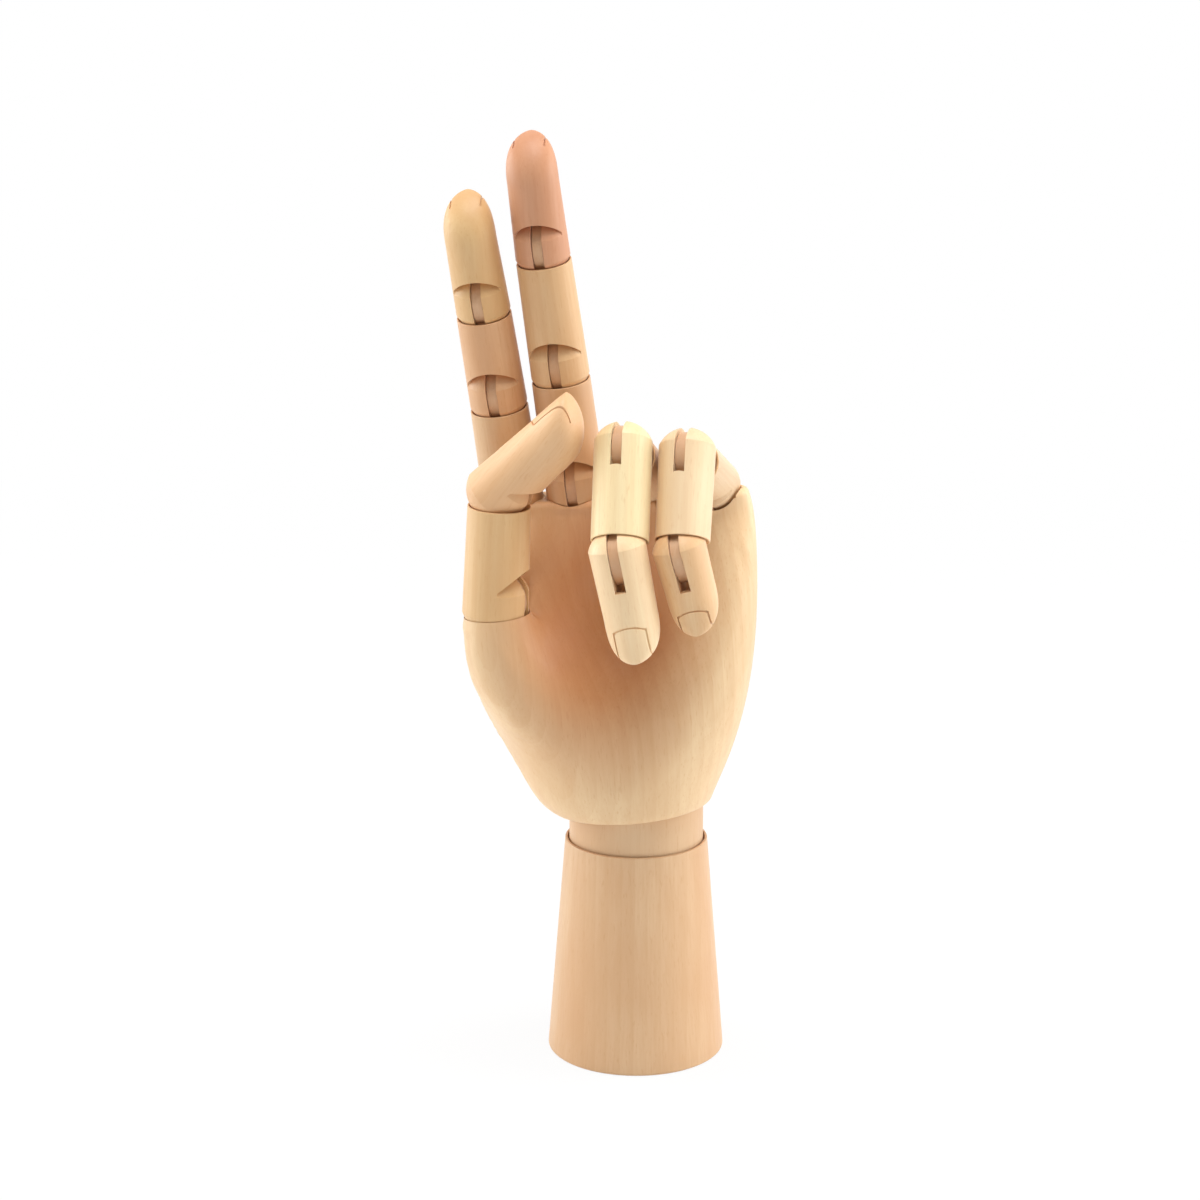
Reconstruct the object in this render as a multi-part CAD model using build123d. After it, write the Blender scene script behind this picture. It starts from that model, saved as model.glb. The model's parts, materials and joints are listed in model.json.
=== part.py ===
from build123d import *
from math import asin, cos, hypot, pi, radians, sin, sqrt
import os

os.makedirs("parts", exist_ok=True)

# Jointed wooden left hand on a turned stand, in the pose of two raised fingers.
# Millimetres, +Z up, the palm faces -Y, the thumb side is -X.
# The origin is the centre of the stand's underside.

# Stand: a tapered base with a short neck that turns in it
base_bottom_d = 47.8
base_top_d = 38.2
base_height = 60.0
base_foot_round = 0.8
base_rim_round = 0.4
neck_d = 36.0
neck_seat_depth = 1.5
neck_seat_gap = 0.5
neck_top = 71.0
spigot_d = 20.0
spigot_length = 16.0
spigot_clearance = 0.06
spigot_end_gap = 0.5
neck_bore_d = 13.0
spring_chamber_d = 12.0

# Wrist: the palm rocks on the domed neck, over a thin friction washer
wrist_z = 68.0
wrist_lean = 5.0
dome_mouth_d = 21.6
washer_gap = 0.15
washer_thickness = 0.6
washer_hole_angle = 26.0
washer_rim_angle = 70.0

# Tension spring between two screw eyes
eye_d = 9.0
eye_wire_d = 1.4
eye_shank_d = 3.2
palm_shank_grip = 14.0
base_shank_grip = 13.0
shank_clearance = 0.02
spring_d = 9.0
spring_wire_d = 1.0
spring_body_length = 22.0
upper_hook_gap = 2.1
lower_hook_gap = 0.1
chamber_floor_gap = 1.0

# Hinges of the fingers: a wooden tongue in a saw slot, on a steel pin
hinge_rise = 3.0
seam_gap = 0.6
notch_gap = 0.35
seam_round = 0.25
slot_width = 2.85
slot_reach = 1.0
tongue_thickness = 2.55
tongue_head_inset = 0.6
tongue_stem_width = 8.6
mortise_depth = 5.2
glue_gap = 0.05
pin_d = 2.0
pin_cover = 2.2
pin_grip_gap = 0.02
pin_running_gap = 0.06
tip_slot_length = 7.6

# Fingertips and their engraved nails
nose_length = 11.5
thumb_nose_length = 12.5
tip_pad_share = 0.93
nail_length_share = 0.46
nail_width_share = 0.63
nail_arch = 1.2
nail_wrap = 0.5
nail_groove_width = 0.4
nail_groove_depth = 0.4

# Knuckle places in the hand, from the wrist pivot: across and along the hand
index_knuckle = (-25.7, 89.3)
middle_knuckle = (-8.65, 90.1)
ring_knuckle = (10.6, 89.1)
little_knuckle = (27.2, 88.0)
thumb_base = (-28.2, -22.0, 64.5)
thumb_turn = 80.0

# Set of each knuckle in degrees: turned about the finger, and leaned across the hand
index_set = (0.0, -1.1)
middle_set = (0.0, -1.0)
ring_set = (-4.0, 0.0)
little_set = (-7.0, 0.0)

# Lengths: hinge to hinge, the last one hinge to tip
index_lengths = (27.3, 26.0, 28.0)
middle_lengths = (32.9, 32.4, 28.6)
ring_lengths = (28.0, 27.7, 26.3)
little_lengths = (24.2, 25.9, 19.4)
thumb_lengths = (29.9, 31.4)

# Diameters: at each hinge, the last one where the rounded tip begins
index_diameters = (16.0, 15.0, 14.1, 13.2)
middle_diameters = (16.0, 15.2, 14.1, 13.2)
ring_diameters = (14.8, 14.9, 14.8, 13.9)
little_diameters = (14.4, 14.6, 13.9, 13.0)
thumb_diameters = (17.3, 16.2, 14.8)

# Bend of each hinge in the stored pose, from straight, in degrees
index_bend = (10.3, 2.9, 2.3)
middle_bend = (8.7, 2.1, 1.1)
ring_bend = (61.8, 89.0, 29.0)
little_bend = (62.3, 89.0, 31.0)
thumb_bend = (7.9, 43.9)

# Sideways set of each finger's last hinge, in degrees
index_end_set = 0.0
middle_end_set = 1.0
ring_end_set = 7.5
little_end_set = 11.5
thumb_end_set = 0.0

# Bend for which the notch on the palm side leaves room, and the fingers that fold over the palm
full_bend = 92.0
folded_fingers = ("ring", "little")

# Palm block: heights of its sections above the wrist pivot, and their reach
palm_lip = 1.8
palm_lip_round = 0.8
palm_top = 86.4
palm_top_round = 2.0
palm_foot = dict(left=-22.4, right=20.5, front=-20.8, back=20.6)
palm_heel = dict(z=8.5, left=-28.0, right=23.8, front=-22.8, back=21.0)
palm_low = dict(z=21.0, left=-33.8, right=29.4, front=-24.0, back=19.5)
palm_mid = dict(z=34.0, left=-39.0, right=33.4, front=-23.0, back=17.5)
palm_wide = dict(z=47.0, left=-40.9, right=36.0, front=-21.5, back=15.5)
palm_thumb = dict(z=58.0, left=-40.0, right=37.3, front=-19.5, back=14.0)
palm_upper = dict(z=73.0, left=-36.6, right=37.9, front=-11.8, back=11.8)
palm_rim = dict(left=-35.2, right=36.4, front=-8.8, back=9.8)
palm_round_power = 2.0
palm_wide_power = 2.3
palm_rim_power = 2.8
hollow_radius = 32.0
hollow_centre = (4.0, -36.8, 66.0)
thenar_mid = dict(x=-25.8, y=-17.5, z=46.0, d=26.0)
thenar_low = dict(x=-17.5, y=-9.5, z=28.0, d=33.0)
thenar_foot = dict(x=-6.0, y=-3.0, z=10.0, d=34.0)
section_points = 24

# Shared figures that follow from the sizes above
dome_r = hypot(neck_d / 2, neck_top - wrist_z)
washer_inner_r = dome_r + washer_gap
washer_outer_r = washer_inner_r + washer_thickness
wrist_cup_r = washer_outer_r + washer_gap
spigot_end = base_height - neck_seat_depth - spigot_length
hook_d = spring_d - spring_wire_d
far = 200.0

parts = {}
hinges = {}


def ball_radius(d):
    """Radius of the domed end of a segment of this diameter, about its hinge."""
    return hypot(d / 2, hinge_rise)


def cup_radius(d):
    """Radius of the hollowed end that the dome turns in."""
    return hypot(d / 2, hinge_rise + seam_gap)


def arc_about(centre_z, radius, start, end):
    """Arc about a point on the axis, from one angle above the horizontal to another."""
    def at(angle):
        return (radius * cos(angle), centre_z + radius * sin(angle))
    return ThreePointArc(at(start), at((start + end) / 2), at(end))


def turned(edges, corners):
    """Solid of revolution about Z, with the named corners of its outline rounded."""
    outline = make_face(Curve() + edges)
    for corner, radius in corners:
        outline = fillet(outline.vertices().sort_by_distance(corner)[0], radius)
    return revolve(Plane.XZ * outline, Axis.Z)


def rim_angle(depth, radius):
    """Angle of a rim at this depth below the centre of its ball."""
    return -asin(depth / radius)


def disc(radius, thickness):
    """Flat disc whose axis lies along X, across the finger."""
    return Rot(0, 90, 0) * Cylinder(radius, thickness)


def upright(radius, bottom, top):
    """Cylinder about Z between two heights."""
    return Pos(0, 0, (bottom + top) / 2) * Cylinder(radius, top - bottom)


def ring(d, wire_d):
    """Wire ring that stands in the XZ plane, about its own centre."""
    return Rot(90, 0, 0) * Torus(d / 2, wire_d / 2)


# Stand

def make_base():
    foot = (base_bottom_d / 2, 0)
    rim = (base_top_d / 2, base_height)
    top = (0, base_height)
    sides = [Line((0, 0), foot), Line(foot, rim), Line(rim, top), Line(top, (0, 0))]
    body = turned(sides, [(foot, base_foot_round), (rim, base_rim_round)])
    seat = upright(neck_d / 2 + neck_seat_gap, base_height - neck_seat_depth, far)
    bore = upright(spigot_d / 2 + spigot_clearance, spigot_end - spigot_end_gap, far)
    chamber_floor = base_eye_z() - (eye_d + eye_wire_d) / 2 - chamber_floor_gap
    chamber = upright(spring_chamber_d / 2, chamber_floor, far)
    pilot_floor = base_eye_z() - eye_d / 2 - base_shank_grip - shank_clearance
    pilot = upright(eye_shank_d / 2 + shank_clearance, pilot_floor, far)
    return body - seat - bore - chamber - pilot


def make_neck():
    seat = base_height - neck_seat_depth
    body = upright(neck_d / 2, seat, neck_top) + upright(spigot_d / 2, spigot_end, seat)
    dome = Pos(0, 0, wrist_z) * Sphere(dome_r)
    body += dome & upright(neck_d, neck_top, far)
    bore = upright(neck_bore_d / 2, spigot_end - 1, far)
    dome_mouth_z = wrist_z + sqrt(dome_r**2 - (dome_mouth_d / 2) ** 2)
    mouth_depth = dome_mouth_z - wrist_z
    throat_r = neck_bore_d / 2
    flare = (dome_mouth_d / 2 - throat_r) / mouth_depth
    mouth_top_r = throat_r + flare * (dome_r + 1)
    mouth = Pos(0, 0, wrist_z + (dome_r + 1) / 2) * Cone(throat_r, mouth_top_r, dome_r + 1)
    return body - bore - mouth


def make_washer():
    hole = radians(90 - washer_hole_angle)
    rim = radians(90 - washer_rim_angle)
    inner = arc_about(0, washer_inner_r, rim, hole)
    outer = arc_about(0, washer_outer_r, rim, hole)
    section = make_face(Curve() + [inner, outer, Line(inner @ 0, outer @ 0), Line(inner @ 1, outer @ 1)])
    return revolve(Plane.XZ * section, Axis.Z)


def make_palm_eye():
    shank = upright(eye_shank_d / 2, eye_d / 2, wrist_cup_r + palm_shank_grip)
    return ring(eye_d, eye_wire_d) + shank


def upper_hook_z():
    return wrist_z - eye_d / 2 + (eye_wire_d + spring_wire_d) / 2 + upper_hook_gap - hook_d / 2


def spring_body_top():
    return upper_hook_z() - hook_d / 4


def lower_hook_z():
    return spring_body_top() - spring_body_length - hook_d / 4


def base_eye_z():
    return lower_hook_z() - hook_d / 2 + (eye_wire_d + spring_wire_d) / 2 + lower_hook_gap - eye_d / 2


def make_spring():
    top = spring_body_top()
    coil = upright(spring_d / 2, top - spring_body_length, top)
    coil -= upright(spring_d / 2 - spring_wire_d, -far, far)
    hook = Rot(0, 0, 90) * ring(hook_d, spring_wire_d)
    return coil + Pos(0, 0, upper_hook_z()) * hook + Pos(0, 0, lower_hook_z()) * hook


def make_base_eye():
    middle = base_eye_z()
    shank = upright(eye_shank_d / 2, middle - eye_d / 2 - base_shank_grip, middle - eye_d / 2)
    return Pos(0, 0, middle) * ring(eye_d, eye_wire_d) + shank


# Finger segments, each with its hinge at the origin, pointing up, palm side to -Y

def make_segment(near_d, far_d, length):
    """Segment with a domed lower end and a hollowed upper end."""
    rim_z = length - hinge_rise - seam_gap
    rim_r = near_d / 2 + (far_d - near_d) / 2 * rim_z / length
    dome = ball_radius(near_d)
    cup = hypot(rim_r, length - rim_z)
    lower = arc_about(0, dome, -pi / 2, rim_angle(hinge_rise, dome))
    upper = arc_about(length, cup, rim_angle(length - rim_z, cup), -pi / 2)
    sides = [lower, Line(lower @ 1, upper @ 0), upper, Line(upper @ 1, lower @ 0)]
    return turned(sides, [(lower @ 1, seam_round), (upper @ 0, seam_round)])


def make_tip(near_d, tip_d, length, nose):
    """Last segment: domed lower end, tapered wall, and a tip rounded towards the pad."""
    nose_z = length - nose
    dome = ball_radius(near_d)
    lower = arc_about(0, dome, -pi / 2, rim_angle(hinge_rise, dome))
    top = (tip_d / 2, nose_z)
    sides = [lower, Line(lower @ 1, top), Line(top, (0, nose_z)), Line((0, nose_z), lower @ 0)]
    wall = turned(sides, [(lower @ 1, seam_round)])
    sections = []
    for share in (0, 0.3, 0.55, 0.75, 0.9, 0.97):
        depth = tip_d / 2 * sqrt(1 - share**2)
        width = tip_d / 2 * (1 - share**3) ** 0.45
        middle = (tip_d / 2 - depth) * tip_pad_share
        sections.append(Pos(0, middle, nose_z + nose * share) * Ellipse(width, depth))
    sections.append(Vertex(0, tip_d / 2 * tip_pad_share, length))
    return wall + loft(sections)


def cut_hinge(segment, d, side_set, slot_tail):
    """Notch on the palm side, saw slot for the tongue, and the blind hole of the pin."""
    ball = Sphere(ball_radius(d))
    rim = -(hinge_rise + seam_gap - notch_gap)
    parent_end = upright(d / 2 + notch_gap, rim - 2 * d, rim)
    for share in (0, 1 / 3, 2 / 3, 1):
        notch = Rot(-full_bend * share, 0, 0) * Rot(0, -side_set, 0) * parent_end
        segment -= notch - ball
    segment -= disc(ball_radius(d) + slot_reach, slot_width)
    if slot_tail > 0:
        segment -= Pos(0, d / 2, slot_tail / 2) * Box(slot_width, d, slot_tail)
    return segment - disc(pin_d / 2 + pin_grip_gap, d - 2 * pin_cover + pin_grip_gap)


def make_tongue(d):
    """Flat wooden disc on a stem, glued into the end below the hinge."""
    stem_length = cup_radius(d) + mortise_depth
    head = disc(d / 2 - tongue_head_inset, tongue_thickness)
    stem = Pos(0, 0, -stem_length / 2) * Box(tongue_thickness, tongue_stem_width, stem_length)
    return head + stem - disc(pin_d / 2 + pin_running_gap, d)


def mortise(d):
    """Pocket for the tongue's stem in the end below the hinge."""
    bottom = -(cup_radius(d) + mortise_depth + glue_gap)
    top = -(cup_radius(d) - hinge_rise)
    size = (tongue_thickness + 2 * glue_gap, tongue_stem_width + 2 * glue_gap, top - bottom)
    return Pos(0, 0, (bottom + top) / 2) * Box(*size)


def make_pin(d):
    return disc(pin_d / 2, d - 2 * pin_cover)


def nail_groove(near_d, tip_d, length, nose):
    """Engraved outline of the nail on the back of a fingertip."""
    def shape(width, base):
        half = width / 2
        left = (-half, base)
        right = (half, base)
        top_z = length + near_d
        arch = ThreePointArc(left, (0, base - nail_arch), right)
        walls = [arch, Line(right, (half, top_z)), Line((half, top_z), (-half, top_z)), Line((-half, top_z), left)]
        return make_face(Curve() + walls)

    base = length * (1 - nail_length_share)
    width = tip_d * nail_width_share
    outline = shape(width, base)
    outline -= shape(width - 2 * nail_groove_width, base + nail_groove_width)
    wrap_y = tip_d / 2 * (1 - nail_wrap)
    stamp = extrude(Pos(0, wrap_y, 0) * Plane.XZ * outline, amount=-near_d)
    shrink = 2 * nail_groove_depth
    core = make_tip(near_d - shrink, tip_d - shrink, length - nail_groove_depth, nose)
    return stamp - core


# Palm

def oval(z, left, right, front, back, power):
    """Rounded section of the palm block, between round and square by its power."""
    middle_x = (left + right) / 2
    middle_y = (front + back) / 2
    points = []
    for step in range(section_points):
        turn = 2 * pi * step / section_points
        across = abs(cos(turn)) ** (2 / power) * (1 if cos(turn) >= 0 else -1)
        along = abs(sin(turn)) ** (2 / power) * (1 if sin(turn) >= 0 else -1)
        points.append((middle_x + (right - left) / 2 * across, middle_y + (back - front) / 2 * along))
    return Pos(0, 0, z) * make_face(Spline(points, periodic=True))


def make_palm(knuckles, thumb_frame):
    sections = [oval(palm_lip, power=palm_round_power, **palm_foot)]
    for size in (palm_heel, palm_low):
        sections.append(oval(power=palm_round_power, **size))
    for size in (palm_mid, palm_wide, palm_thumb, palm_upper):
        sections.append(oval(power=palm_wide_power, **size))
    sections.append(oval(palm_top, power=palm_rim_power, **palm_rim))
    block = loft(sections)
    block = fillet(block.edges().sort_by(Axis.Z)[0], palm_lip_round)
    block = fillet(block.edges().sort_by(Axis.Z)[-1], palm_top_round)

    stump_d = thumb_diameters[0]
    stump_x, stump_y, hinge_z = thumb_base
    stump = [Pos(stump_x, stump_y, hinge_z - hinge_rise - seam_gap) * Circle(stump_d / 2)]
    for size in (thenar_mid, thenar_low, thenar_foot):
        stump.append(Pos(size["x"], size["y"], size["z"]) * Circle(size["d"] / 2))
    block -= Pos(*hollow_centre) * Sphere(hollow_radius)
    block += loft(stump)

    for finger, (frame, d) in knuckles.items():
        rim = -(hinge_rise + seam_gap)
        block -= frame * upright(d / 2 + notch_gap, rim, far)
        if finger in folded_fingers:
            swing = Rot(90, 0, 0) * upright(d / 2 + notch_gap, 0, far)
            block -= frame * (swing - upright(d / 2, -far, far))
    for frame, d in [*knuckles.values(), (thumb_frame, stump_d)]:
        block -= frame * Sphere(cup_radius(d))
        block -= frame * mortise(d)
    block -= Sphere(wrist_cup_r)
    return block - upright(eye_shank_d / 2 + shank_clearance, 0, wrist_cup_r + palm_shank_grip)


# Assembly: the hand leans on the wrist, and every finger is a chain of hinges

hand = Pos(0, 0, wrist_z) * Rot(0, -wrist_lean, 0)


def upright_finger(knuckle, knuckle_set):
    across, along = knuckle
    turn, lean = knuckle_set
    return Pos(across, 0, along) * Rot(0, 0, turn) * Rot(0, lean, 0)


thumb_frame = Pos(*thumb_base) * Rot(0, 0, thumb_turn)
fingers = {
    "index": (
        upright_finger(index_knuckle, index_set), index_lengths, index_diameters, index_bend, index_end_set
    ),
    "middle": (
        upright_finger(middle_knuckle, middle_set), middle_lengths, middle_diameters, middle_bend, middle_end_set
    ),
    "ring": (
        upright_finger(ring_knuckle, ring_set), ring_lengths, ring_diameters, ring_bend, ring_end_set
    ),
    "little": (
        upright_finger(little_knuckle, little_set), little_lengths, little_diameters, little_bend, little_end_set
    ),
    "thumb": (thumb_frame, thumb_lengths, thumb_diameters, thumb_bend, thumb_end_set),
}
segment_names = {3: ("proximal", "middle", "tip"), 2: ("proximal", "tip")}

for finger, (frame, lengths, diameters, bends, end_set) in fingers.items():
    names = segment_names[len(lengths)]
    nose = thumb_nose_length if finger == "thumb" else nose_length
    frame = hand * frame
    for place, name in enumerate(names):
        d, next_d = diameters[place], diameters[place + 1]
        length = lengths[place]
        last = place == len(names) - 1
        side_set = end_set if last else 0.0
        seat = frame * Rot(0, side_set, 0)
        frame = seat * Rot(bends[place], 0, 0)
        if last:
            segment = make_tip(d, next_d, length, nose) - nail_groove(d, next_d, length, nose)
        else:
            segment = make_segment(d, next_d, length)
            next_set = end_set if place == len(names) - 2 else 0.0
            segment -= Pos(0, 0, length) * Rot(0, next_set, 0) * mortise(next_d)
        segment = cut_hinge(segment, d, side_set, tip_slot_length if last else 0.0)
        node = f"{finger}_{name}"
        parts[node] = frame * segment
        parts[f"{node}_tongue"] = seat * make_tongue(d)
        parts[f"{node}_pin"] = frame * make_pin(d)
        hinges[node] = seat
        frame = frame * Pos(0, 0, length)

knuckles = {name: (fingers[name][0], fingers[name][2][0]) for name in ("index", "middle", "ring", "little")}
parts["palm"] = hand * make_palm(knuckles, thumb_frame)
parts["palm_eye"] = hand * make_palm_eye()
parts["wrist_washer"] = Pos(0, 0, wrist_z) * make_washer()
parts["wrist_spring"] = make_spring()
parts["neck"] = make_neck()
parts["base_eye"] = make_base_eye()
parts["base"] = make_base()

for node, solid in parts.items():
    export_step(solid, f"parts/{node}.step")
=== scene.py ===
import json
from math import radians

import bmesh
import bpy
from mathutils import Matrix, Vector, kdtree

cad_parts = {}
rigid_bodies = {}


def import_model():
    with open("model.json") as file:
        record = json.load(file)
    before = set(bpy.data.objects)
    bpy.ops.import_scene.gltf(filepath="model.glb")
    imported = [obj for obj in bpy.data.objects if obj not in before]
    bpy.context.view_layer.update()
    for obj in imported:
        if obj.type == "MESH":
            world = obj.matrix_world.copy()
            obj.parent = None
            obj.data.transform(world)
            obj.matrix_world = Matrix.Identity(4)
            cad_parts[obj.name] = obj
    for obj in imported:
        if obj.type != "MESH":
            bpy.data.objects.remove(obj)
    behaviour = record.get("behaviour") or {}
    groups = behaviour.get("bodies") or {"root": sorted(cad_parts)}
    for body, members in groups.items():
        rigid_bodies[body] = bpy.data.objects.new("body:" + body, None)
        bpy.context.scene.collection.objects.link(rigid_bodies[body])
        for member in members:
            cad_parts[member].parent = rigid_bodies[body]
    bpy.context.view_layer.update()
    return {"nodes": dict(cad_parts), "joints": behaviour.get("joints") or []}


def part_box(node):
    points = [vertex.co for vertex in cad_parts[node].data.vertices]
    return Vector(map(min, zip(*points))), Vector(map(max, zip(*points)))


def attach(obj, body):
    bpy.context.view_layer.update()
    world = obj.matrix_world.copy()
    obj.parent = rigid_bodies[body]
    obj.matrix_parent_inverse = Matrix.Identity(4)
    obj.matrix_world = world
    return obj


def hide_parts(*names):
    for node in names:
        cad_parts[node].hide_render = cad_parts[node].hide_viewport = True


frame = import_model()


# Base. The foot is turned from one upright blank of pale, close-grained hardwood,
# sanded smooth and left bare. It stands on its flat underside and carries the neck.

def add_node(tree, kind, label, **settings):
    """A labelled node with its settings."""
    node = tree.nodes.new(kind)
    node.label = label
    for name, value in settings.items():
        setattr(node, name, value)
    return node


def stretched_noise(tree, coordinates, label, across, along, detail):
    """Noise drawn out along the grain: features per metre across it and along it."""
    stretch = add_node(tree, "ShaderNodeVectorMath", label + " stretch", operation="MULTIPLY")
    stretch.inputs[1].default_value = (across, across, along)
    noise = add_node(tree, "ShaderNodeTexNoise", label)
    noise.inputs["Scale"].default_value = 1.0
    noise.inputs["Detail"].default_value = detail
    tree.links.new(coordinates, stretch.inputs[0])
    tree.links.new(stretch.outputs[0], noise.inputs["Vector"])
    return noise.outputs["Fac"]


def remapped(tree, value, label, low, high, to_low=0.0, to_high=1.0):
    """A value carried from the range low to high into another range, and held inside it."""
    spread = add_node(tree, "ShaderNodeMapRange", label, clamp=True)
    spread.inputs["From Min"].default_value = low
    spread.inputs["From Max"].default_value = high
    spread.inputs["To Min"].default_value = to_low
    spread.inputs["To Max"].default_value = to_high
    tree.links.new(value, spread.inputs["Value"])
    return spread.outputs["Result"]


# The sockets of a mix node share their names with its other sockets, so they go by number.
mix_factor = 0
mix_first_colour = 6
mix_second_colour = 7
mix_result_colour = 2


def tinted(tree, amount, label, base, tint):
    """Colour that goes from base to tint by an amount."""
    mix = add_node(tree, "ShaderNodeMix", label, data_type="RGBA", blend_type="MIX")
    tree.links.new(amount, mix.inputs[mix_factor])
    tree.links.new(base, mix.inputs[mix_first_colour])
    tree.links.new(tint, mix.inputs[mix_second_colour])
    return mix.outputs[mix_result_colour]


def scaled(tree, value, label, factor):
    """A value times a socket's number."""
    product = add_node(tree, "ShaderNodeMath", label, operation="MULTIPLY")
    tree.links.new(value, product.inputs[0])
    tree.links.new(factor, product.inputs[1])
    return product.outputs[0]


grain = bpy.data.node_groups.new("bare_hardwood", "ShaderNodeTree")
for name, kind in (
    ("Lengthwise", "NodeSocketVector"),
    ("End", "NodeSocketFloat"),
    ("Pale", "NodeSocketColor"),
    ("Streak", "NodeSocketColor"),
    ("Heart", "NodeSocketColor"),
    ("Streak Amount", "NodeSocketFloat"),
    ("Figure Amount", "NodeSocketFloat"),
):
    grain.interface.new_socket(name, in_out="INPUT", socket_type=kind)
for name, kind in (
    ("Colour", "NodeSocketColor"),
    ("Roughness", "NodeSocketFloat"),
    ("Height", "NodeSocketFloat"),
):
    grain.interface.new_socket(name, in_out="OUTPUT", socket_type=kind)

grain_in = add_node(grain, "NodeGroupInput", "piece")
grain_out = add_node(grain, "NodeGroupOutput", "finish")
lengthwise = grain_in.outputs["Lengthwise"]
pale_colour = grain_in.outputs["Pale"]
streak_colour = grain_in.outputs["Streak"]
heart_colour = grain_in.outputs["Heart"]
streak_share = grain_in.outputs["Streak Amount"]
figure_share = grain_in.outputs["Figure Amount"]

fibres = stretched_noise(grain, lengthwise, "fibres", across=1500.0, along=45.0, detail=4.0)
bands = stretched_noise(grain, lengthwise, "bands", across=260.0, along=6.0, detail=2.0)
clouds = stretched_noise(grain, lengthwise, "clouds", across=45.0, along=20.0, detail=2.0)
flecks = stretched_noise(grain, lengthwise, "flecks", across=2600.0, along=330.0, detail=1.0)

ring_lean = 0.16
rings = add_node(
    grain,
    "ShaderNodeTexWave",
    "growth rings",
    wave_type="RINGS",
    rings_direction="Z",
    wave_profile="SAW",
)
rings.inputs["Scale"].default_value = 95.0
rings.inputs["Distortion"].default_value = 4.0
rings.inputs["Detail"].default_value = 2.0
rings.inputs["Detail Scale"].default_value = 0.4
ring_slope = add_node(grain, "ShaderNodeVectorMath", "ring slope", operation="MULTIPLY")
ring_slope.inputs[1].default_value = (1.0, 1.0, ring_lean)
grain.links.new(lengthwise, ring_slope.inputs[0])
grain.links.new(ring_slope.outputs[0], rings.inputs["Vector"])

band_contrast = remapped(grain, bands, "band contrast", low=0.35, high=0.7)
fibre_contrast = remapped(grain, fibres, "fibre contrast", low=0.4, high=0.72, to_high=0.8)
ring_contrast = remapped(grain, rings.outputs["Fac"], "ring contrast", low=0.4, high=1.0)
band_amount = scaled(grain, band_contrast, "band amount", streak_share)
fibre_amount = scaled(grain, fibre_contrast, "fibre amount", streak_share)
ring_amount = scaled(grain, ring_contrast, "ring amount", figure_share)
cloud_amount = remapped(grain, clouds, "cloud contrast", low=0.42, high=0.75, to_high=0.7)
end_amount = remapped(grain, grain_in.outputs["End"], "end grain", low=0.5, high=0.95, to_high=0.55)
fleck_amount = remapped(grain, flecks, "fleck contrast", low=0.62, high=0.74, to_high=0.45)

clouded = tinted(grain, cloud_amount, "clouded", pale_colour, heart_colour)
banded = tinted(grain, band_amount, "banded", clouded, streak_colour)
ringed = tinted(grain, ring_amount, "ringed", banded, heart_colour)
fibred = tinted(grain, fibre_amount, "fibred", ringed, streak_colour)
flecked = tinted(grain, fleck_amount, "flecked", fibred, heart_colour)
ended = tinted(grain, end_amount, "ended", flecked, heart_colour)
satin = remapped(grain, fibres, "satin", low=0.3, high=0.7, to_low=0.42, to_high=0.56)
grain.links.new(ended, grain_out.inputs["Colour"])
grain.links.new(satin, grain_out.inputs["Roughness"])
grain.links.new(fibres, grain_out.inputs["Height"])

streak_of_pale = (0.88, 0.76, 0.66)
heart_of_pale = (0.84, 0.68, 0.55)
fibre_relief = 0.12
fibre_depth = 0.00006
dust_sheen = 0.16
dust_sheen_roughness = 0.4
upright = (0, 0, 1)


def shaded(pale, shares):
    """A darker colour of the same stick: the pale one times a share in each channel."""
    return tuple(channel * share for channel, share in zip(pale, shares))


def wood(name, along, pale, streak_amount, figure_amount, cut):
    """Bare hardwood with its grain along a direction, cut at some place in the log."""
    material = bpy.data.materials.new(name)
    material.use_nodes = True
    tree = material.node_tree
    surface = tree.nodes["Principled BSDF"]
    surface.inputs["Specular IOR Level"].default_value = 0.5
    surface.inputs["Sheen Weight"].default_value = dust_sheen
    surface.inputs["Sheen Roughness"].default_value = dust_sheen_roughness
    place = add_node(tree, "ShaderNodeTexCoord", "place")
    turn = add_node(tree, "ShaderNodeMapping", "along the grain")
    turn.inputs["Rotation"].default_value = Vector(along).rotation_difference(upright).to_euler()
    turn.inputs["Location"].default_value = cut
    facing = add_node(tree, "ShaderNodeVectorMath", "facing along the grain", operation="DOT_PRODUCT")
    facing.inputs[1].default_value = Vector(along).normalized()
    either_end = add_node(tree, "ShaderNodeMath", "either end", operation="ABSOLUTE")
    figure = add_node(tree, "ShaderNodeGroup", "grain", node_tree=grain)
    figure.inputs["Pale"].default_value = (*pale, 1)
    figure.inputs["Streak"].default_value = (*shaded(pale, streak_of_pale), 1)
    figure.inputs["Heart"].default_value = (*shaded(pale, heart_of_pale), 1)
    figure.inputs["Streak Amount"].default_value = streak_amount
    figure.inputs["Figure Amount"].default_value = figure_amount
    relief = add_node(tree, "ShaderNodeBump", "sanded fibres")
    relief.inputs["Strength"].default_value = fibre_relief
    relief.inputs["Distance"].default_value = fibre_depth
    tree.links.new(place.outputs["Object"], turn.inputs["Vector"])
    tree.links.new(place.outputs["Normal"], facing.inputs[0])
    tree.links.new(facing.outputs["Value"], either_end.inputs[0])
    tree.links.new(turn.outputs["Vector"], figure.inputs["Lengthwise"])
    tree.links.new(either_end.outputs[0], figure.inputs["End"])
    tree.links.new(figure.outputs["Colour"], surface.inputs["Base Color"])
    tree.links.new(figure.outputs["Roughness"], surface.inputs["Roughness"])
    tree.links.new(figure.outputs["Height"], relief.inputs["Height"])
    tree.links.new(relief.outputs["Normal"], surface.inputs["Normal"])
    return material


def finish_with(node, material):
    """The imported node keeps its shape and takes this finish."""
    frame["nodes"][node].data.materials.clear()
    frame["nodes"][node].data.materials.append(material)


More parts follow.
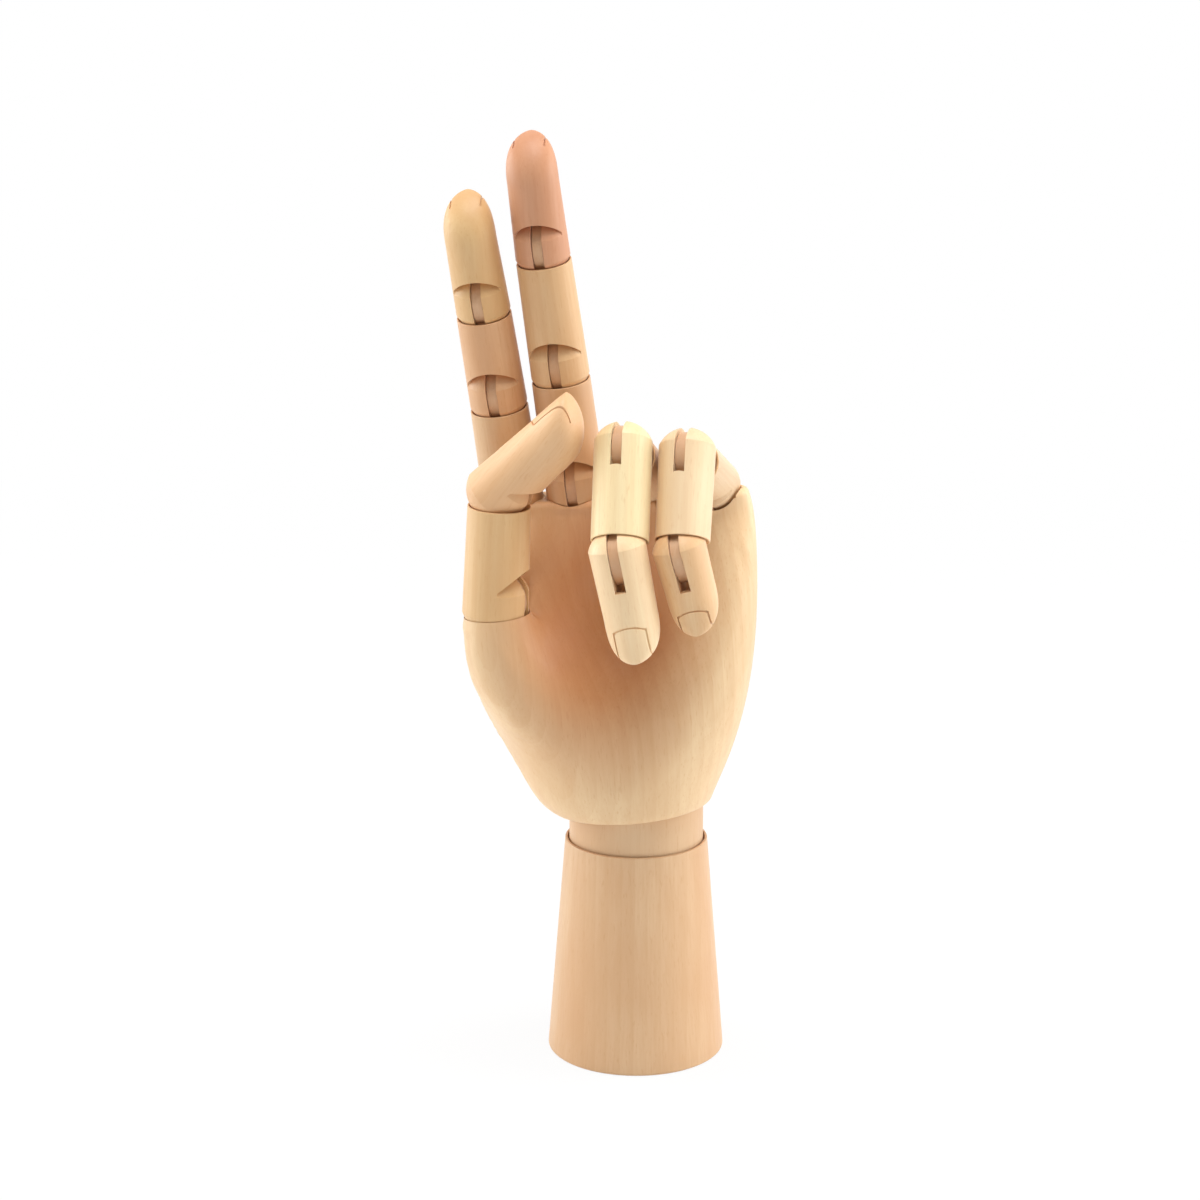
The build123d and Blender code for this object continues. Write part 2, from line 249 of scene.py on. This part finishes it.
base_wood = wood(
    "base_wood",
    upright,
    pale=(0.77, 0.52, 0.30),
    streak_amount=0.45,
    figure_amount=0.2,
    cut=(0.05, 0.02, 0.0),
)
finish_with("base", base_wood)


# Neck. A short turned cylinder of the same wood with a domed top. Its spigot turns in
# the base, and its foot sits in a shallow recess that shows as a dark ring.

neck_wood = wood(
    "neck_wood",
    upright,
    pale=(0.77, 0.54, 0.32),
    streak_amount=0.25,
    figure_amount=0.08,
    cut=(0.03, 0.07, 0.4),
)
finish_with("neck", neck_wood)


# Wrist fittings. Two steel screw eyes and a tension spring inside the neck pull the palm
# on to the dome, over a washer of pressed fibre. None of them shows from outside.

steel = bpy.data.materials.new("bright_steel")
steel.use_nodes = True
steel_surface = steel.node_tree.nodes["Principled BSDF"]
steel_surface.inputs["Base Color"].default_value = (0.55, 0.55, 0.54, 1)
steel_surface.inputs["Metallic"].default_value = 1.0
steel_surface.inputs["Roughness"].default_value = 0.32
for fitting in ("base_eye", "wrist_spring", "palm_eye"):
    finish_with(fitting, steel)

fibre = bpy.data.materials.new("pressed_fibre")
fibre.use_nodes = True
fibre_surface = fibre.node_tree.nodes["Principled BSDF"]
fibre_surface.inputs["Base Color"].default_value = (0.16, 0.09, 0.05, 1)
fibre_surface.inputs["Roughness"].default_value = 0.9
finish_with("wrist_washer", fibre)


# Palm. One carved block with a hollow, a heel and a stump for the thumb, sanded until the
# carver's edges in front are gone. The grain runs from the wrist to the knuckles.

hinge_of_body = {joint["child"]: Vector(joint["pos_m"]) for joint in frame["joints"]}
wrist = hinge_of_body["palm"]
finger_names = ("index", "middle", "ring", "little")
knuckle_points = [hinge_of_body[finger + "_proximal"] for finger in finger_names]
thumb_point = hinge_of_body["thumb_proximal"]
hand_up = (sum(knuckle_points, Vector()) / len(knuckle_points) - wrist).normalized()

# Only the front is sanded, between two heights over the wrist.
sanded_front = -0.0055
sanded_low = 0.012
sanded_high = 0.0845

# The seats of the hinges, the wrist cup and the thumb's mortise keep their cut shape.
knuckle_keep = 0.0105
stump_keep = 0.0112
mortise_keep = 0.0065
mortise_depth = 0.020
cup_keep = 0.0215

# Each pass works on what lies within a distance of an edge that the carver left.
weld_distance = 1e-6
crease_angle = radians(11)
sanding_step = 0.5
sanding = ((0.016, 40), (0.012, 40), (0.008, 40), (0.005, 40))
sharp_angle = radians(32)


def is_sanded(point):
    """True on the front of the palm, away from its hinge seats, the wrist cup and the mortise."""
    height = (point - wrist).dot(hand_up)
    if point.y > sanded_front or not sanded_low < height < sanded_high:
        return False
    if (point - wrist).length < cup_keep or (point - thumb_point).length < stump_keep:
        return False
    down = (thumb_point - point).dot(hand_up)
    beside = (thumb_point - point - hand_up * down).length
    if 0 < down < mortise_depth and beside < mortise_keep:
        return False
    return all((point - knuckle).length > knuckle_keep for knuckle in knuckle_points)


palm_mesh = frame["nodes"]["palm"].data.copy()
palm_mesh.name = "sanded_palm"
form = bmesh.new()
form.from_mesh(palm_mesh)
bmesh.ops.remove_doubles(form, verts=form.verts[:], dist=weld_distance)
creases = [
    edge for edge in form.edges
    if edge.is_manifold and edge.calc_face_angle() > crease_angle
    and all(is_sanded(corner.co) for corner in edge.verts)
]
crease_tree = kdtree.KDTree(len(creases))
for number, edge in enumerate(creases):
    crease_tree.insert((edge.verts[0].co + edge.verts[1].co) / 2, number)
crease_tree.balance()
front_points = [corner for corner in form.verts if is_sanded(corner.co)]
crease_distance = {corner: crease_tree.find(corner.co)[2] for corner in front_points}
for reach, passes in sanding:
    worked = [corner for corner in front_points if crease_distance[corner] < reach]
    for _ in range(passes):
        bmesh.ops.smooth_vert(
            form, verts=worked, factor=sanding_step, use_axis_x=True, use_axis_y=True, use_axis_z=True
        )
form.to_mesh(palm_mesh)
form.free()
palm_mesh.shade_smooth()
palm_mesh.set_sharp_from_angle(angle=sharp_angle)
palm = bpy.data.objects.new("palm_block", palm_mesh)
bpy.context.scene.collection.objects.link(palm)

palm_wood = wood(
    "palm_wood",
    hand_up,
    pale=(0.86, 0.63, 0.37),
    streak_amount=0.36,
    figure_amount=0.2,
    cut=(0.03, 0.05, 0.1),
)
palm_mesh.materials.clear()
palm_mesh.materials.append(palm_wood)
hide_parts("palm")
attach(palm, "palm")


# Heart of the palm, with painted shade. The hollow is cut deep into the block, so the redder
# heart of the log shows there, and the patch is made darker still as painted shade of the hollow
# under the thumb and fingers. It runs along the grain and fades out towards the sides and the heel.

heart_and_shade_height = 0.060
heart_and_shade_aside = Vector((-0.001, -0.022, 0.0))
heart_and_shade_point = wrist + hand_up * heart_and_shade_height + heart_and_shade_aside
# Painted shade: these shares darken the palm's colour in the hollow more than the heart of the log
# would.
heart_and_shade_shares = (0.69, 0.44, 0.30)
heart_and_shade_core = 0.019
heart_and_shade_reach = 0.042
heart_and_shade_spread = (1.3, 1.0, 0.8)

heart_and_shade_tree = palm_wood.node_tree
heart_and_shade_place = add_node(heart_and_shade_tree, "ShaderNodeTexCoord", "place in the block")
heart_and_shade_offset = add_node(heart_and_shade_tree, "ShaderNodeVectorMath", "away from the heart", operation="SUBTRACT")
heart_and_shade_offset.inputs[1].default_value = heart_and_shade_point
heart_and_shade_along = add_node(heart_and_shade_tree, "ShaderNodeVectorMath", "along the grain", operation="MULTIPLY")
heart_and_shade_along.inputs[1].default_value = heart_and_shade_spread
heart_and_shade_distance = add_node(heart_and_shade_tree, "ShaderNodeVectorMath", "from the heart", operation="LENGTH")
heart_and_shade_tree.links.new(heart_and_shade_place.outputs["Object"], heart_and_shade_offset.inputs[0])
heart_and_shade_tree.links.new(heart_and_shade_offset.outputs[0], heart_and_shade_along.inputs[0])
heart_and_shade_tree.links.new(heart_and_shade_along.outputs[0], heart_and_shade_distance.inputs[0])
heart_and_shade_amount = remapped(
    heart_and_shade_tree,
    heart_and_shade_distance.outputs["Value"],
    "heart",
    low=heart_and_shade_core,
    high=heart_and_shade_reach,
    to_low=1.0,
    to_high=0.0,
)
# The mix darkens the base colour: partly the redder heart of the log, partly painted shade of the
# hollow.
heart_and_shade_stain = add_node(
    heart_and_shade_tree, "ShaderNodeMix", "heartwood_and_painted_shade", data_type="RGBA", blend_type="MULTIPLY"
)
heart_and_shade_stain.inputs[mix_second_colour].default_value = (*heart_and_shade_shares, 1)
stained = heart_and_shade_tree.nodes["Principled BSDF"].inputs["Base Color"]
heart_and_shade_tree.links.new(heart_and_shade_amount, heart_and_shade_stain.inputs[mix_factor])
heart_and_shade_tree.links.new(stained.links[0].from_socket, heart_and_shade_stain.inputs[mix_first_colour])
heart_and_shade_tree.links.new(heart_and_shade_stain.outputs[mix_result_colour], stained)


# Fingers and thumb. Each segment is turned from its own stick, so the tones differ from
# one to the next, and the grain runs along the segment. The tones also hold painted light:
# the ring and little middle segments and the ring tip, which face up, are made paler as if lit from
# above.

# Painted light: ring_middle, ring_tip and little_middle are paler than their sticks, as if lit by the
# top lamp.
segment_tones_and_painted_light = {
    "index_proximal": (0.74, 0.50, 0.28),
    "index_middle": (0.75, 0.46, 0.25),
    "index_tip": (0.78, 0.53, 0.26),
    "middle_proximal": (0.72, 0.48, 0.27),
    "middle_middle": (0.76, 0.50, 0.26),
    "middle_tip": (0.66, 0.34, 0.19),
    "ring_proximal": (0.76, 0.54, 0.32),
    "ring_middle": (0.92, 0.76, 0.45),
    "ring_tip": (0.96, 0.75, 0.47),
    "little_proximal": (0.78, 0.58, 0.36),
    "little_middle": (0.92, 0.72, 0.46),
    "little_tip": (0.82, 0.56, 0.31),
    "thumb_proximal": (0.80, 0.55, 0.28),
    "thumb_tip": (0.86, 0.58, 0.33),
}

# Where in the log each stick is cut: a step sideways, a row and a step lengthwise.
stick_step = 0.021
row_start = 0.035
row_step = 0.013
rows_in_log = 4
length_step = 0.09


def segment_axis(node):
    """Direction of a segment, from its own hinge to the next one or to its middle."""
    ahead = [Vector(joint["pos_m"]) for joint in frame["joints"] if joint["parent"] == node]
    if not ahead:
        low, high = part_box(node)
        ahead = [(low + high) / 2]
    return (ahead[0] - hinge_of_body[node]).normalized()


for number, (node, pale) in enumerate(segment_tones_and_painted_light.items()):
    segment_wood = wood(
        node + "_wood",
        segment_axis(node),
        pale,
        streak_amount=0.45,
        figure_amount=0.18,
        cut=(stick_step * number, row_start - row_step * (number % rows_in_log), length_step * number),
    )
    finish_with(node, segment_wood)


# Tongues and pins. A flat tongue of darker wood is glued into the end below each hinge
# and turns in the saw slot of the next segment on a blind steel pin.

tongue_pale = (0.69, 0.45, 0.27)
tongue_step = 0.07
parent_of_body = {joint["child"]: joint["parent"] for joint in frame["joints"]}
for node in segment_tones_and_painted_light:
    parent = parent_of_body[node]
    tongue_wood = wood(
        node + "_tongue_wood",
        hand_up if parent == "palm" else segment_axis(parent),
        tongue_pale,
        streak_amount=0.5,
        figure_amount=0.1,
        cut=(0.04, 0.03, tongue_step * len(node)),
    )
    finish_with(node + "_tongue", tongue_wood)
    finish_with(node + "_pin", steel)


# Studio. A white floor and backdrop in a light tent that is open at the front, with a
# large soft box at each side and one overhead.

def page_rays(tree):
    """One for the rays that see the white page: those of the camera, of gloss and through glass."""
    rays = add_node(tree, "ShaderNodeLightPath", "rays")
    seen = rays.outputs["Is Camera Ray"]
    for kind in ("Is Glossy Ray", "Is Transmission Ray"):
        either = add_node(tree, "ShaderNodeMath", "or " + kind, operation="MAXIMUM")
        tree.links.new(seen, either.inputs[0])
        tree.links.new(rays.outputs[kind], either.inputs[1])
        seen = either.outputs[0]
    return seen


# Near the hand the floor keeps a share of its shadow, and further off it is plain white.
floor_half = 6.0
shadow_reach = 0.25
page_reach = 0.75
page_share_near = 0.9
page_share_far = 1.0

floor_mesh = bpy.data.meshes.new("floor")
floor_mesh.from_pydata(
    [
        (-floor_half, -floor_half, 0),
        (floor_half, -floor_half, 0),
        (floor_half, floor_half, 0),
        (-floor_half, floor_half, 0),
    ],
    [],
    [(0, 1, 2, 3)],
)
floor = bpy.data.objects.new("floor", floor_mesh)
bpy.context.scene.collection.objects.link(floor)

paper = bpy.data.materials.new("white_paper")
paper.use_nodes = True
paper_tree = paper.node_tree
paper_surface = paper_tree.nodes["Principled BSDF"]
paper_surface.inputs["Base Color"].default_value = (0.85, 0.85, 0.85, 1)
paper_surface.inputs["Roughness"].default_value = 0.9
paper_glow = add_node(paper_tree, "ShaderNodeEmission", "white of the page")
paper_glow.inputs["Strength"].default_value = 1.0
paper_place = add_node(paper_tree, "ShaderNodeTexCoord", "place on the floor")
paper_distance = add_node(paper_tree, "ShaderNodeVectorMath", "from the hand", operation="LENGTH")
paper_tree.links.new(paper_place.outputs["Object"], paper_distance.inputs[0])
paper_white = remapped(
    paper_tree,
    paper_distance.outputs["Value"],
    "shadow to plain page",
    low=shadow_reach,
    high=page_reach,
    to_low=page_share_near,
    to_high=page_share_far,
)
paper_share = scaled(paper_tree, page_rays(paper_tree), "share of page white", paper_white)
paper_mix = add_node(paper_tree, "ShaderNodeMixShader", "page")
paper_tree.links.new(paper_share, paper_mix.inputs[0])
paper_tree.links.new(paper_surface.outputs[0], paper_mix.inputs[1])
paper_tree.links.new(paper_glow.outputs[0], paper_mix.inputs[2])
paper_tree.links.new(paper_mix.outputs[0], paper_tree.nodes["Material Output"].inputs["Surface"])
floor_mesh.materials.append(paper)

# The tent gives less light from the open front than from its back wall.
white = (1.0, 1.0, 1.0, 1)
tent_front = -1.0
tent_back = 0.6
front_light = 0.285
back_light = 0.62

world = bpy.data.worlds.new("studio")
bpy.context.scene.world = world
world.use_nodes = True
world_tree = world.node_tree
room_light = world_tree.nodes["Background"]
room_light.inputs["Color"].default_value = white
tent = add_node(world_tree, "ShaderNodeTexCoord", "direction")
tent_depth = add_node(world_tree, "ShaderNodeSeparateXYZ", "towards the back")
tent_light = remapped(
    world_tree,
    tent_depth.outputs["Y"],
    "open front to back wall",
    low=tent_front,
    high=tent_back,
    to_low=front_light,
    to_high=back_light,
)
world_tree.links.new(tent.outputs["Generated"], tent_depth.inputs[0])
world_tree.links.new(tent_light, room_light.inputs["Strength"])
page_light = add_node(world_tree, "ShaderNodeBackground", "page white")
page_light.inputs["Color"].default_value = white
page_light.inputs["Strength"].default_value = 1.0
world_mix = add_node(world_tree, "ShaderNodeMixShader", "page or room")
world_tree.links.new(page_rays(world_tree), world_mix.inputs[0])
world_tree.links.new(room_light.outputs[0], world_mix.inputs[1])
world_tree.links.new(page_light.outputs[0], world_mix.inputs[2])
world_tree.links.new(world_mix.outputs[0], world_tree.nodes["World Output"].inputs["Surface"])

hand_middle = Vector((0.0, 0.0, 0.13))
box_width = 0.8
soft_boxes = {
    "left_box": ((-0.95, 0.10, 0.35), 5.8),
    "right_box": ((0.92, 0.24, 0.40), 6.2),
    "top_box": ((0.05, -0.16, 1.20), 10.0),
}
for name, (place, power) in soft_boxes.items():
    lamp_data = bpy.data.lights.new(name, "AREA")
    lamp_data.shape = "DISK"
    lamp_data.size = box_width
    lamp_data.energy = power
    lamp = bpy.data.objects.new(name, lamp_data)
    lamp.location = place
    lamp.rotation_euler = (hand_middle - lamp.location).to_track_quat("-Z", "Y").to_euler()
    bpy.context.scene.collection.objects.link(lamp)


# Camera. Slightly above the hand and a little to its right, as in the photograph.

camera_place = Vector((0.11839, -0.80312, 0.34246))
camera_target = Vector((-0.00964, -0.00154, 0.12558))
camera_data = bpy.data.cameras.new("camera")
camera_data.sensor_width = 36.0
camera_data.lens = 95.33
camera = bpy.data.objects.new("camera", camera_data)
camera.location = camera_place
camera.rotation_euler = (camera_target - camera_place).to_track_quat("-Z", "Y").to_euler()
bpy.context.scene.collection.objects.link(camera)
bpy.context.scene.camera = camera
bpy.context.scene.view_settings.view_transform = "Standard"
